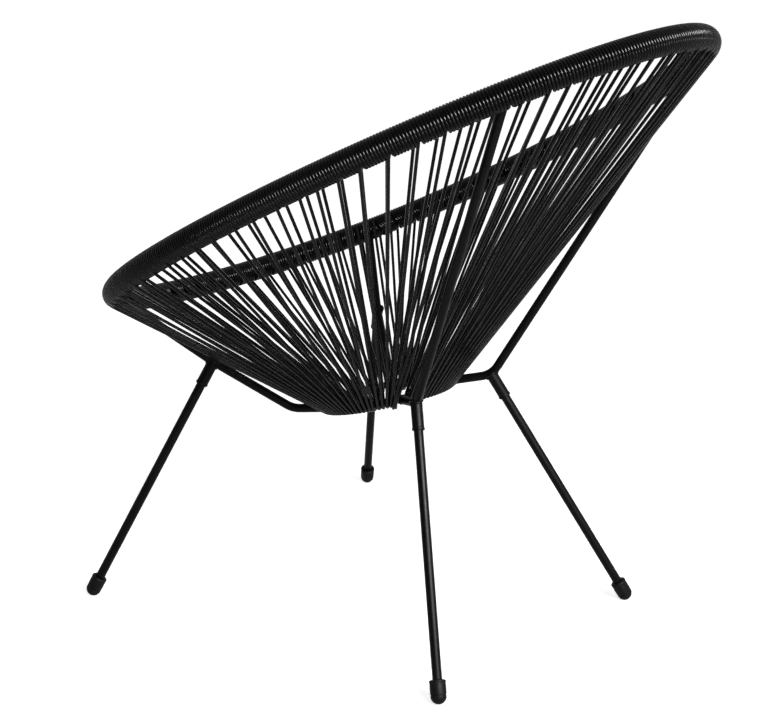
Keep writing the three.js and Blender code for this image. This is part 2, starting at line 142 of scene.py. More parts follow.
# The last four of the left side's loops crowd up to the rear rod: the degrees at which each goes under
# the ring and comes over it, and its layer. The cord runs on round the chair, so on the right the
# crowded loops lie next to the front rod.
SIDE_EVEN_END = math.radians(41.5)
CROWDED_LOOPS = ((44.4, 44.8, 0), (47.3, 47.7, 0), (45.8, 46.4, 1), (47.4, 50.6, 1))

# How far apart a loop's two strings leave the ring and how far out a second layer lies, both as shares
# of the cord's thickness, and how unevenly the loops lie along the ring.
LOOP_SHIFT_SHARE = 0.62
LAYER_RISE_SHARE = 0.75
LOOP_UNEVENNESS = math.radians(0.25)
UNEVEN_SEED = 7

# Where a rod comes out of the rim the turns are pushed aside: over what length along the rim that fades,
# and how far round the rim it reaches.
PUSH_FADE = 0.09
PUSH_REACH = math.radians(75)

# The points of the cord's route: how finely it is drawn, eased and then thinned out again. The two
# reaches and the easing's width count steps of the route.
STEPS_PER_TURN = 60
STEPS_PER_LOOP = 24
STEPS_PER_STRING = 400
ROUTE_STEP = 0.001
EASE_REACH = 4
EASE_WIDTH = 1.5
CORNER_REACH = 10
RIM_SPACING = 0.0034
HUB_SPACING = 0.0014
STRING_SPACING = 0.045
CORNER_SPACING = 0.0016

# The camera.
CAMERA_PLACE = Vector((1.8518, 1.5769, 1.1550))
CAMERA_AZIMUTH = math.radians(131.325)
CAMERA_ELEVATION = math.radians(18.171)
CAMERA_ROLL = math.radians(0.43)
CAMERA_LENS = 88.18
SENSOR_WIDTH = 36
VIEW_DEPTH = 200

# The lamps: name, degrees above the floor, distance, width, height and power. The sheen lamps show only
# in reflections, and the low specular levels of the cord, coat and rubber are set to go with them.
LAMP_AZIMUTH = math.radians(168)
LAMP_TARGET = Vector((0, 0, 0.5))
KEY_LAMP = ("key_lamp", 34, 3.0, 0.9, 0.9, 60)
SHEEN_LAMPS = (
    ("high_sheen", 34, 3.2, 2.2, 0.7, 760),
    ("low_sheen", 3, 3.2, 2.2, 0.4, 120),
)

# The floor and the surround.
FLOOR_HALF = 60
FLOOR_COLOUR = (0.93, 0.93, 0.93, 1)
FLOOR_GLOW_SHARE = 0.74
SURROUND_STRENGTH = 0.3
BACKDROP_FADE = 0.3
WHITE = (1, 1, 1, 1)

# The part of a noise's range that is spread over a finish.
NOISE_LOW = 0.3
NOISE_HIGH = 0.7

CORD_RADIUS = CORD_DIAMETER / 2
LEG_RADIUS = LEG_DIAMETER / 2
RIM_WINDING_RADIUS = RIM_TUBE_DIAMETER / 2 + CORD_RADIUS
HUB_WINDING_RADIUS = HUB_ROD_DIAMETER / 2 + CORD_RADIUS


def unit(vectors):
    return vectors / np.linalg.norm(vectors, axis=-1, keepdims=True)


def rim_point(turn):
    """The rim's centre line: the turn is 0 at the high back and half a circle at the low front."""
    turn = np.asarray(turn, dtype=float)
    along = RIM_HALF_LENGTH * np.cos(turn)
    egg = 1 + RIM_EGG_SHARE * np.cos(turn) + RIM_FULL_SHARE * np.cos(2 * turn)
    x = RIM_HALF_WIDTH * np.sin(turn) * egg
    y = RIM_CENTRE_BACK + along * math.cos(RIM_TILT) + CHAIR_SHIFT
    z = RIM_CENTRE_HEIGHT + along * math.sin(RIM_TILT)
    return np.stack((x, y, z), axis=-1)


# Lengths along the rim from the middle of the front, past the sitter's left side and on round.
RIM_OVERRUN_SHARE = 1.1
RIM_SAMPLES = 9000
RIM_TURNS = np.linspace(math.pi * RIM_OVERRUN_SHARE, -math.pi * RIM_OVERRUN_SHARE, RIM_SAMPLES)
RIM_STEPS = np.linalg.norm(np.diff(rim_point(RIM_TURNS), axis=0), axis=1)
RIM_LENGTHS = np.concatenate(((0,), np.cumsum(RIM_STEPS)))
RIM_LENGTHS -= np.interp(-math.pi, -RIM_TURNS, RIM_LENGTHS)
RIM_AROUND = np.interp(math.pi, -RIM_TURNS, RIM_LENGTHS)
RIM_HALF = RIM_AROUND / 2


def rim_turn(length):
    return np.interp(length, RIM_LENGTHS, RIM_TURNS)


def rim_length(turn):
    return np.interp(-turn, -RIM_TURNS, RIM_LENGTHS)


def rim_along(turn):
    """The way the rim runs as the length from the front grows."""
    step = 1e-4
    return unit(rim_point(turn - step) - rim_point(turn + step))


def hub_point(angle):
    """The hub ring's centre line: the angle is 0 on the left and a quarter turn at the back."""
    angle = np.asarray(angle, dtype=float)
    x = HUB_RADIUS * np.cos(angle)
    y = HUB_BACK + HUB_RADIUS * np.sin(angle) * math.cos(HUB_TILT) + CHAIR_SHIFT
    z = HUB_HEIGHT + HUB_RADIUS * np.sin(angle) * math.sin(HUB_TILT)
    return np.stack((x, y, z), axis=-1)


def hub_along(angle):
    angle = np.asarray(angle, dtype=float)
    x = -np.sin(angle)
    y = np.cos(angle) * math.cos(HUB_TILT)
    z = np.cos(angle) * math.sin(HUB_TILT)
    return np.stack((x, y, z), axis=-1)


def evenly(start, end, count):
    """Angles in the middles of equal parts."""
    return start + (end - start) * (np.arange(count) + 0.5) / count


def loop_places():
    """For each loop all the way round: its length along the rim, its two hub angles and its layer."""
    wound = TURNS_BEFORE_FIRST + np.concatenate(((0,), np.cumsum(TURNS_BETWEEN_LOOPS)))
    lengths = wound * RIM_HALF / TURNS_PER_SIDE
    half_room = HUB_ROD_ROOM / 2 / HUB_RADIUS
    half_shift = LOOP_SHIFT_SHARE * CORD_DIAMETER / 2 / HUB_RADIUS
    front_angles = evenly(-math.pi / 2, FRONT_HUB_TURN - half_room, len(FRONT_TURNS) + 1)
    even_count = len(SIDE_TURNS) + 1 - len(CROWDED_LOOPS)
    side_angles = np.linspace(FRONT_HUB_TURN + half_room, SIDE_EVEN_END, even_count)
    rear_angles = evenly(REAR_HUB_TURN + half_room, math.pi / 2, len(REAR_TURNS) + 1)

    def single_layer(angles):
        return [(angle - half_shift, angle + half_shift, 0) for angle in angles]

    front = single_layer(front_angles)
    side = single_layer(side_angles)
    side += [(math.radians(under), math.radians(over), layer) for under, over, layer in CROWDED_LOOPS]
    rear = single_layer(rear_angles)
    both_rods = FRONT_HUB_TURN + REAR_HUB_TURN
    other_side = [(both_rods - over, both_rods - under, layer) for under, over, layer in reversed(side)]
    left = [(length, *place) for length, place in zip(lengths, (*front, *side, *rear))]
    right = [
        (RIM_AROUND - length, math.pi - over, math.pi - under, layer)
        for length, (under, over, layer) in zip(lengths, (*front, *other_side, *rear))
    ]
    chance = np.random.default_rng(UNEVEN_SEED)
    uneven = chance.normal(0, LOOP_UNEVENNESS, 2 * len(left))
    return [
        (length, under + off, over + off, layer)
        for (length, under, over, layer), off in zip(left + right[::-1], uneven)
    ]


def panel_borders(lengths):
    """The lengths along the rim where one piece of the cord ends and the next one starts."""
    loops = np.concatenate(((0,), np.cumsum((*PANEL_LOOPS, *reversed(PANEL_LOOPS)))))
    inner = [(lengths[i - 1] + lengths[i]) / 2 for i in loops[1:-1]]
    return np.array((0, *inner, RIM_AROUND))


def section(points, along, other):
    """For points on a hoop: the way up off the strings and the way out from the strings' other ends."""
    toward = other - points
    toward = toward - along * np.sum(toward * along, axis=-1, keepdims=True)
    toward = unit(toward)
    up = unit(np.cross(toward, along))
    return up, -toward


def mirrored(points):
    return points * np.array((-1, 1, 1))


def rod_corners(rim_joint, hub_joint, shares):
    """The corners of a rod on the sitter's left, from the middle of the rim tube to that of the hub rod."""
    top = rim_point(rim_joint)
    foot = hub_point(hub_joint)
    return np.array([top, *[top + (foot - top) * np.array(share) for share in shares], foot])


FRONT_ROD = rod_corners(FRONT_RIM_TURN, FRONT_HUB_TURN, FRONT_CORNER_SHARES)
REAR_ROD = rod_corners(REAR_RIM_TURN, REAR_HUB_TURN, REAR_CORNER_SHARES)


def rod_joints():
    """For each place where a rod leaves the rim: the length along it and the rod's direction."""
    joints = []
    for turn, rod in ((FRONT_RIM_TURN, FRONT_ROD), (REAR_RIM_TURN, REAR_ROD)):
        way = unit(rod[1] - rod[0])
        joints.append((float(rim_length(turn)), way))
        joints.append((RIM_AROUND - float(rim_length(turn)), mirrored(way)))
    return joints


def pushed_aside(lengths, turns, hub_angles, pitch):
    """How far along the rim the winding gives way to the rods: each turn passes a rod on one side of it."""
    rim = rim_turn(lengths)
    up, out = section(rim_point(rim), -rim_along(rim), hub_point(hub_angles))
    aside = np.zeros(len(lengths))
    room = ROD_DIAMETER / 2 + CORD_RADIUS
    for joint, way in rod_joints():
        rod_turn = np.arctan2(out @ way, up @ way) / (2 * math.pi)
        off = turns - rod_turn
        off -= np.round(off)
        passing = lengths - off * pitch - joint
        cover = np.clip(1 - np.abs(off) * 2 * math.pi / PUSH_REACH, 0, 1)
        cover = cover * cover * (3 - 2 * cover)
        aside += np.sign(passing) * room * np.exp(-np.abs(passing) / PUSH_FADE) * cover
    return aside


def winding_points(lengths, turns, hub_angles, pitch):
    """Points of the winding on the rim: a whole turn goes over the top, outside, under and back inside."""
    rim = rim_turn(lengths + pushed_aside(lengths, turns, hub_angles, pitch))
    centre = rim_point(rim)
    up, out = section(centre, -rim_along(rim), hub_point(hub_angles))
    angle = 2 * math.pi * turns[:, None]
    return centre + RIM_WINDING_RADIUS * (np.cos(angle) * up + np.sin(angle) * out)


def hub_points(angles, turns, rim_lengths, layer):
    """Points of a loop round the hub ring, from under it, round its inside and up over it."""
    centre = hub_point(angles)
    up, out = section(centre, hub_along(angles), rim_point(rim_turn(rim_lengths)))
    angle = 2 * math.pi * turns[:, None]
    radius = HUB_WINDING_RADIUS + layer * LAYER_RISE_SHARE * CORD_DIAMETER
    return centre + radius * (np.cos(angle) * up + np.sin(angle) * out)


ON_RIM = 0
ON_STRING = 1
ON_HUB = 2


def cord_route():
    """The whole cord as runs of points, each with its length along the rim and what it lies on."""
    loops = loop_places()
    rim_lengths = np.array([loop[0] for loop in loops])
    hub_angles = np.array([(loop[1] + loop[2]) / 2 for loop in loops])
    count = len(loops)
    around = np.concatenate((rim_lengths[-1:] - RIM_AROUND, rim_lengths, rim_lengths[:1] + RIM_AROUND))
    angles = np.concatenate((hub_angles[-1:] - 2 * math.pi, hub_angles, hub_angles[:1] + 2 * math.pi))
    points = []
    places = []
    kinds = []

    def add(new, place, kind):
        points.append(new)
        places.append(np.broadcast_to(place, len(new)))
        kinds.append(np.full(len(new), kind))

    pitch = RIM_HALF / TURNS_PER_SIDE
    for k in range(count + 1):
        start = around[k]
        end = around[k + 1]
        turns = round((end - start) / pitch)
        length = np.linspace(start + pitch / 4, end - pitch / 4, int((turns - 0.5) * STEPS_PER_TURN))
        turn = (length - start - pitch / 4) / pitch
        hub_angle = np.interp(length, around, angles)
        wound = winding_points(length, turn, hub_angle, pitch)
        inside = (length > 0) & (length < RIM_AROUND)
        add(wound[inside], length[inside], ON_RIM)
        if k == count:
            break
        _, under, over, layer = loops[k]
        hub_angle = np.linspace(under, over, STEPS_PER_LOOP)
        hub_turn = np.linspace(0.5, 0.0, STEPS_PER_LOOP)
        loop = hub_points(hub_angle, hub_turn, np.full(STEPS_PER_LOOP, rim_lengths[k]), layer)
        next_start = winding_points(
            np.array([end + pitch / 4]), np.array([0.0]), np.array([angles[k + 1]]), pitch
        )
        share = np.linspace(0, 1, STEPS_PER_STRING)[1:-1, None]
        add(wound[-1] + (loop[0] - wound[-1]) * share, end, ON_STRING)
        add(loop, end, ON_HUB)
        add(loop[-1] + (next_start[0] - loop[-1]) * share, end, ON_STRING)
    return np.concatenate(points), np.concatenate(places), np.concatenate(kinds)


def even_route(points, places, kinds):
    """The same route with its points a small even step apart, and its corners eased."""
    run = np.concatenate(((0,), np.cumsum(np.linalg.norm(np.diff(points, axis=0), axis=1))))
    even = np.arange(0, run[-1], ROUTE_STEP)
    moved = np.stack([np.interp(even, run, points[:, i]) for i in range(3)], axis=-1)
    nearest = np.clip(np.searchsorted(run, even), 0, len(run) - 1)
    kernel = np.exp(-0.5 * (np.arange(-EASE_REACH, EASE_REACH + 1) / EASE_WIDTH) ** 2)
    kernel /= kernel.sum()
    padded = np.concatenate((moved[:1].repeat(EASE_REACH, 0), moved, moved[-1:].repeat(EASE_REACH, 0)))
    eased = np.stack([np.convolve(padded[:, i], kernel, "valid") for i in range(3)], axis=-1)
    return eased, places[nearest], kinds[nearest]


def thinned(kinds):
    """Which points of the even route are kept: few where a string runs straight."""
    corner = np.zeros(len(kinds), dtype=bool)
    changes = np.nonzero(np.diff(kinds))[0]
    for shift in range(-CORNER_REACH, CORNER_REACH + 1):
        corner[np.clip(changes + shift, 0, len(kinds) - 1)] = True
    spacing = np.where(kinds == ON_HUB, HUB_SPACING, STRING_SPACING)
    spacing = np.where(kinds == ON_RIM, RIM_SPACING, spacing)
    spacing = np.where(corner, CORNER_SPACING, spacing)
    count = np.floor(np.cumsum(ROUTE_STEP / spacing)).astype(int)
    keep = np.concatenate(((True,), np.diff(count) > 0))
    keep[-1] = True
    return keep


def material(name):
    """A new node material with its shader and its tree."""
    made = bpy.data.materials.new(name)
    made.use_nodes = True
    return made, made.node_tree.nodes["Principled BSDF"], made.node_tree


def grain(tree, scale, detail):
    """Noise on the object's own coordinates."""
    place = tree.nodes.new("ShaderNodeTexCoord")
    noise = tree.nodes.new("ShaderNodeTexNoise")
    noise.inputs["Scale"].default_value = scale
    noise.inputs["Detail"].default_value = detail
    tree.links.new(place.outputs["Object"], noise.inputs["Vector"])
    return noise.outputs["Fac"]


def ranged(tree, value, low, high):
    """A noise spread over a range."""
    spread = tree.nodes.new("ShaderNodeMapRange")
    spread.inputs["From Min"].default_value = NOISE_LOW
    spread.inputs["From Max"].default_value = NOISE_HIGH
    spread.inputs["To Min"].default_value = low
    spread.inputs["To Max"].default_value = high
    tree.links.new(value, spread.inputs["Value"])
    return spread.outputs["Result"]


def tinted(tree, value, dark, light):
    """A noise as a colour between two."""
    ramp = tree.nodes.new("ShaderNodeValToRGB")
    ramp.color_ramp.elements[0].position = NOISE_LOW
    ramp.color_ramp.elements[1].position = NOISE_HIGH
    ramp.color_ramp.elements[0].color = (*dark, 1)
    ramp.color_ramp.elements[1].color = (*light, 1)
    tree.links.new(value, ramp.inputs["Fac"])
    return ramp.outputs["Color"]


def bumped(tree, shader, height, depth):
    bump = tree.nodes.new("ShaderNodeBump")
    bump.inputs["Distance"].default_value = depth
    tree.links.new(height, bump.inputs["Height"])
    tree.links.new(bump.outputs["Normal"], shader.inputs["Normal"])


def cord_vinyl():
    made, shader, tree = material("cord_vinyl")
    shade = grain(tree, scale=90, detail=4)
    colour = tinted(tree, shade, dark=(0.0028, 0.0026, 0.0025), light=(0.0052, 0.0049, 0.0047))
    tree.links.new(colour, shader.inputs["Base Color"])
    gloss = ranged(tree, grain(tree, scale=60, detail=3), low=0.15, high=0.24)
    tree.links.new(gloss, shader.inputs["Roughness"])
    shader.inputs["Specular IOR Level"].default_value = 0.05
    bumped(tree, shader, grain(tree, scale=1400, detail=3), depth=0.00003)
    return made


def powder_coat():
    made, shader, tree = material("powder_coat")
    shade = grain(tree, scale=40, detail=4)
    colour = tinted(tree, shade, dark=(0.0026, 0.0026, 0.0027), light=(0.0042, 0.0042, 0.0044))
    tree.links.new(colour, shader.inputs["Base Color"])
    gloss = ranged(tree, grain(tree, scale=55, detail=3), low=0.34, high=0.44)
    tree.links.new(gloss, shader.inputs["Roughness"])
    shader.inputs["Specular IOR Level"].default_value = 0.04
    bumped(tree, shader, grain(tree, scale=900, detail=2), depth=0.00012)
    return made


def foot_rubber():
    made, shader, tree = material("foot_rubber")
    shade = grain(tree, scale=120, detail=4)
    colour = tinted(tree, shade, dark=(0.0050, 0.0050, 0.0050), light=(0.0085, 0.0084, 0.0083))
    tree.links.new(colour, shader.inputs["Base Color"])
    gloss = ranged(tree, grain(tree, scale=80, detail=3), low=0.45, high=0.60)
    tree.links.new(gloss, shader.inputs["Roughness"])
    shader.inputs["Specular IOR Level"].default_value = 0.04
    bumped(tree, shader, grain(tree, scale=1600, detail=3), depth=0.00008)
    return made


def plated_zinc():
    made, shader, tree = material("plated_zinc")
    shade = grain(tree, scale=200, detail=4)
    colour = tinted(tree, shade, dark=(0.52, 0.53, 0.55), light=(0.68, 0.69, 0.70))
    tree.links.new(colour, shader.inputs["Base Color"])
    gloss = ranged(tree, grain(tree, scale=300, detail=3), low=0.28, high=0.42)
    tree.links.new(gloss, shader.inputs["Roughness"])
    shader.inputs["Metallic"].default_value = 1.0
    bumped(tree, shader, grain(tree, scale=900, detail=2), depth=0.00006)
    return made


def sweep_tree():
    """Geometry Nodes that lay a round cord along the edges of a mesh."""
    tree = bpy.data.node_groups.new("round_sweep", "GeometryNodeTree")
    face = tree.interface
    face.new_socket("Route", in_out="INPUT", socket_type="NodeSocketGeometry")
    face.new_socket("Cord diameter", in_out="INPUT", socket_type="NodeSocketFloat")
    face.new_socket("Sides", in_out="INPUT", socket_type="NodeSocketInt")
    face.new_socket("Finish", in_out="INPUT", socket_type="NodeSocketMaterial")
    face.new_socket("Cord", in_out="OUTPUT", socket_type="NodeSocketGeometry")
    nodes = tree.nodes
    given = nodes.new("NodeGroupInput")
    made = nodes.new("NodeGroupOutput")
    radius = nodes.new("ShaderNodeMath")
    radius.operation = "DIVIDE"
    radius.inputs[1].default_value = 2
    circle = nodes.new("GeometryNodeCurvePrimitiveCircle")
    curve = nodes.new("GeometryNodeMeshToCurve")
    sweep = nodes.new("GeometryNodeCurveToMesh")
    sweep.inputs["Fill Caps"].default_value = True
    smooth = nodes.new("GeometryNodeSetShadeSmooth")
    real = nodes.new("GeometryNodeRealizeInstances")
    finish = nodes.new("GeometryNodeSetMaterial")
    link = tree.links.new
    link(given.outputs["Cord diameter"], radius.inputs[0])
    link(given.outputs["Sides"], circle.inputs["Resolution"])
    link(radius.outputs["Value"], circle.inputs["Radius"])
    link(given.outputs["Route"], curve.inputs["Mesh"])
    link(curve.outputs["Curve"], sweep.inputs["Curve"])
    link(circle.outputs["Curve"], sweep.inputs["Profile Curve"])
    link(sweep.outputs["Mesh"], smooth.inputs["Geometry"])
    link(smooth.outputs["Geometry"], real.inputs["Geometry"])
    link(real.outputs["Geometry"], finish.inputs["Geometry"])
    link(given.outputs["Finish"], finish.inputs["Material"])
    link(finish.outputs["Geometry"], made.inputs["Cord"])
    return tree


def socket_id(tree, name):
    for item in tree.interface.items_tree:
        if item.name == name and item.in_out == "INPUT":
            return item.identifier
    raise KeyError(name)


def swept(name, tree, points, diameter, sides, finish, closed=False):
    """A round form along points, as one plain mesh."""
    mesh = bpy.data.meshes.new(name + "_route")
    edges = [(i, i + 1) for i in range(len(points) - 1)]
    if closed:
        edges.append((len(points) - 1, 0))
    mesh.from_pydata([tuple(p) for p in points], edges, [])
    rough = bpy.data.objects.new(name + "_route", mesh)
    bpy.context.scene.collection.objects.link(rough)
    layer = rough.modifiers.new("sweep", "NODES")
    layer.node_group = tree
    layer[socket_id(tree, "Cord diameter")] = diameter
    layer[socket_id(tree, "Sides")] = sides
    layer[socket_id(tree, "Finish")] = finish
    graph = bpy.context.evaluated_depsgraph_get()
    made = bpy.data.meshes.new_from_object(rough.evaluated_get(graph))
    made.name = name
    bpy.data.objects.remove(rough, do_unlink=True)
    bpy.data.meshes.remove(mesh)
    obj = bpy.data.objects.new(name, made)
    bpy.context.scene.collection.objects.link(obj)
    return obj


def string_cord(tree, finish):
    """The whole cord in twelve pieces, each between two borders on the rim."""
    points, places, kinds = cord_route()
    points, places, kinds = even_route(points, places, kinds)
    keep = thinned(kinds)
    borders = panel_borders([loop[0] for loop in loop_places()])
    panel = np.clip(np.searchsorted(borders, places, side="right") - 1, 0, len(borders) - 2)
    for i in range(len(borders) - 1):
        inside = np.nonzero(panel == i)[0]
        first = inside[0]
        last = min(inside[-1] + 1, len(points) - 1)
        chosen = keep[first : last + 1].copy()
        chosen[0] = True
        chosen[-1] = True
        if i < len(PANEL_LOOPS):
            side = "left_" + str(i + 1)
        else:
            side = "right_" + str(2 * len(PANEL_LOOPS) - i)
        stretch = points[first : last + 1][chosen]
        piece = swept("cord_" + side, tree, stretch, CORD_DIAMETER, CORD_SIDES, finish)
        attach(piece, "root")
        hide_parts("cord_panel_" + side)


def bent_line(corners, radius):
    """Points along a rod's middle, each inner corner rounded."""
    points = [corners[0]]
    for before, corner, after in zip(corners, corners[1:], corners[2:]):
        inward = unit(corner - before)
        onward = unit(after - corner)
        bend = math.acos(float(inward @ onward))
        start = corner - inward * radius * math.tan(bend / 2)
        side = unit(onward - inward * (onward @ inward))
        for angle in np.linspace(0, bend, BEND_STEPS):
            points.append(start + side * radius * (1 - math.cos(angle)) + inward * radius * math.sin(angle))
    points.append(corners[-1])
    return np.array(points)


def trimmed(line, start, end):
    """A line with so much cut off each end."""
    line = line.copy()
    line[0] += unit(line[1] - line[0]) * start
    line[-1] += unit(line[-2] - line[-1]) * end
    return line


def round_frame(way):
    """Two directions square to a way."""
    first = unit(np.cross(way, (1.0, 0.0, 0.0)))
    return first, np.cross(way, first)


def eased_profile(profile, ease):
    """A profile with its sharp corners cut round, except those on the axis."""
    eased = []
    for i, (radius, along) in enumerate(profile):
        here = np.array((radius, along))
        if radius == 0:
            eased.append(here)
            continue
        before = np.array(profile[i - 1])
        after = np.array(profile[(i + 1) % len(profile)])
        cut = min(ease, np.linalg.norm(before - here) / 3, np.linalg.norm(after - here) / 3)
        start = here + unit(before - here) * cut
        end = here + unit(after - here) * cut
        for share in EASE_SHARES:
            eased.append(start * (1 - share) ** 2 + here * 2 * share * (1 - share) + end * share**2)
    return eased


def turned(name, top, way, profile, finish, ease=EDGE_EASE):
    """A piece turned about a line, its closed profile given as radius and distance along the line."""
    first, second = round_frame(way)
    vertices = []
    rows = []
    for radius, along in eased_profile(profile, ease):
        if radius == 0:
            rows.append([len(vertices)] * ROUND_SIDES)
            vertices.append(top + way * along)
            continue
        rows.append(list(range(len(vertices), len(vertices) + ROUND_SIDES)))
        for angle in np.arange(ROUND_SIDES) * 2 * math.pi / ROUND_SIDES:
            around = first * math.cos(angle) + second * math.sin(angle)
            vertices.append(top + way * along + around * radius)
    faces = []
    for i, row in enumerate(rows):
        following = rows[(i + 1) % len(rows)]
        for j in range(ROUND_SIDES):
            k = (j + 1) % ROUND_SIDES
            face = list(dict.fromkeys((row[j], row[k], following[k], following[j])))
            if len(face) > 2:
                faces.append(face)
    points = np.array(vertices)
    points[:, 2] = np.maximum(points[:, 2], 0)
    mesh = bpy.data.meshes.new(name)
    mesh.from_pydata(points.tolist(), [], faces)
    mesh.materials.append(finish)
    obj = bpy.data.objects.new(name, mesh)
    bpy.context.scene.collection.objects.link(obj)
    return obj


def welded(name, pieces):
    """Several meshes as one, its faces turned outward and only its sharp edges shaded sharp."""
    gathered = bmesh.new()
    finish = pieces[0].data.materials[0]
    for piece in pieces:
        gathered.from_mesh(piece.data)
    bmesh.ops.remove_doubles(gathered, verts=gathered.verts, dist=MERGE_DISTANCE)
    bmesh.ops.recalc_face_normals(gathered, faces=gathered.faces)
    for face in gathered.faces:
        face.smooth = True
        face.material_index = 0
    for piece in pieces:
        bpy.data.objects.remove(piece, do_unlink=True)
    mesh = bpy.data.meshes.new(name)
    gathered.to_mesh(mesh)
    gathered.free()
    mesh.materials.append(finish)
    mesh.set_sharp_from_angle(angle=SHARP_EDGE)
    obj = bpy.data.objects.new(name, mesh)
    bpy.context.scene.collection.objects.link(obj)
    return obj


def distance_to_line(point, line):
    start = line[:-1]
    step = line[1:] - start
    share = np.clip(np.sum((point - start) * step, axis=1) / np.sum(step * step, axis=1), 0, 1)
    return float(np.linalg.norm(point - start - step * share[:, None], axis=1).min())


def socket_weld(corner, way, radius, rod_line):
    """The closed line where a socket's wall meets its rod."""
    first, second = round_frame(way)
    points = []
    for angle in np.arange(SOCKET_WELD_STEPS) * 2 * math.pi / SOCKET_WELD_STEPS:
        wall = corner + (first * math.cos(angle) + second * math.sin(angle)) * radius
        meets = -SOCKET_RISE
        for along in np.arange(SOCKET_WELD_REACH, -SOCKET_RISE, -SOCKET_WELD_SEARCH):
            if distance_to_line(wall + way * along, rod_line) <= ROD_DIAMETER / 2:
                meets = along
                break
        points.append(wall + way * meets)
    return np.array(points)


def rod_end_weld(rod_line):
    """A circle round a rod's end, where it sits on the hub ring."""
    end = rod_line[-1]
    way = unit(rod_line[-2] - end)
    first, second = round_frame(way)
    angle = np.arange(ROD_WELD_STEPS) * 2 * math.pi / ROD_WELD_STEPS
    around = first * np.cos(angle)[:, None] + second * np.sin(angle)[:, None]
    return end + way * ROD_WELD_OUT + around * (ROD_DIAMETER / 2 - ROD_WELD_INSET)


def declare(obj, node):
    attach(obj, "root")
    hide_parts(node)


def leg_with_fittings(end, side, corner, foot, rod_line, tree, coat, rubber):
    """A leg with its socket and its cap, on the line from the rod's corner to the foot."""
    way = unit(foot - corner)
    length = float(np.linalg.norm(foot - corner))
    socket_bore = LEG_RADIUS + CLEARANCE
    socket_radius = socket_bore + SOCKET_WALL
    cap_radius = socket_bore + CAP_WALL
    dome_centre = length - (cap_radius - SOLE_FLAT) / -way[2]
    cap_open = dome_centre + cap_radius - CAP_LENGTH
    cap_floor = dome_centre + cap_radius - CAP_SOLE
    leg_end = cap_floor - CLEARANCE
    lip_start = SOCKET_LENGTH - SOCKET_LIP_LENGTH
    place = end + "_{}_" + side

    socket_profile = [
        (socket_radius, -SOCKET_RISE),
        (socket_radius, lip_start),
        (socket_radius + SOCKET_LIP, lip_start + SOCKET_LIP),
        (socket_radius + SOCKET_LIP, SOCKET_LENGTH),
        (socket_bore, SOCKET_LENGTH),
        (socket_bore, -SOCKET_RISE),
    ]
    sleeve = turned("sleeve", corner, way, socket_profile, coat)
    weld_line = socket_weld(corner, way, socket_radius, rod_line)
    bead = swept("bead", tree, weld_line, WELD_DIAMETER, WELD_SIDES, coat, closed=True)
    declare(welded(place.format("bossed_socket"), [sleeve, bead]), place.format("socket"))

    bore = LEG_RADIUS - LEG_WALL
    leg_profile = [(LEG_RADIUS, LEG_TOP), (LEG_RADIUS, leg_end), (bore, leg_end), (bore, LEG_TOP)]
    leg = turned("tube", corner, way, leg_profile, coat)
    declare(welded(place.format("round_leg"), [leg]), place.format("leg"))

    barrel = (dome_centre - cap_open) / 2
    lip_radius = cap_radius + CAP_LIP
    groove = dome_centre - CAP_GROOVE_DROP
    cap_profile = [(0, cap_floor), (socket_bore, cap_floor), (socket_bore, cap_open)]
    for angle in np.linspace(math.pi / 2, 0, CAP_SHOULDER_STEPS):
        radius = lip_radius - CAP_SHOULDER * (1 - math.cos(angle))
        cap_profile.append((radius, cap_open + CAP_SHOULDER * (1 - math.sin(angle))))
    cap_profile += [
        (lip_radius, cap_open + CAP_LIP_LENGTH),
        (cap_radius, cap_open + CAP_LIP_LENGTH + CAP_LIP * 2),
        (cap_radius + CAP_LIP * CAP_BULGE_SHARE, cap_open + barrel),
        (cap_radius, groove - CAP_GROOVE),
        (cap_radius - CAP_GROOVE, groove - CAP_GROOVE / 2),
        (cap_radius - CAP_GROOVE, groove + CAP_GROOVE / 2),
        (cap_radius, groove + CAP_GROOVE),
        (cap_radius, dome_centre),
    ]
    for angle in np.linspace(0, math.pi / 2, CAP_DOME_STEPS)[1:-1]:
        cap_profile.append((cap_radius * math.cos(angle), dome_centre + cap_radius * math.sin(angle)))
    cap_profile.append((0, dome_centre + cap_radius))
    cap = turned("cap", corner, way, cap_profile, rubber, ease=CAP_EDGE_EASE)
    declare(welded(place.format("ribbed_cap"), [cap]), place.format("cap"))


def smooth_frame(tree, coat, rubber):
    """The rods, the hub ring and the legs with their sockets and caps, as smooth forms with their welds."""
    welds = []
    for end, rod, foot_place in (("front", FRONT_ROD, FRONT_FOOT), ("rear", REAR_ROD, REAR_FOOT)):
        for side, turn_over in (("left", lambda points: points), ("right", mirrored)):
            corners = turn_over(rod)
            foot = turn_over(np.array((foot_place[0], foot_place[1] + CHAIR_SHIFT, 0)))
            whole = bent_line(corners, BEND_RADIUS)
            rim_end = RIM_TUBE_DIAMETER / 2 - ROD_RIM_SINK
            line = trimmed(whole, rim_end, HUB_ROD_DIAMETER * ROD_HUB_SHORT_SHARE)
            rod_round = swept("rod", tree, line, ROD_DIAMETER, ROUND_SIDES, coat)
            declare(welded(end + "_round_rod_" + side, [rod_round]), end + "_rod_" + side)
            bead_line = rod_end_weld(whole)
            bead = swept("rod_bead", tree, bead_line, WELD_DIAMETER, WELD_SIDES, coat, closed=True)
            welds.append(bead)
            leg_with_fittings(end, side, corners[1], foot, whole, tree, coat, rubber)
    ring_line = hub_point(np.arange(RING_STEPS) * 2 * math.pi / RING_STEPS)
    ring = swept("ring", tree, ring_line, HUB_ROD_DIAMETER, ROUND_SIDES, coat, closed=True)
    declare(welded("round_hub_ring", [ring, *welds]), "hub_ring")


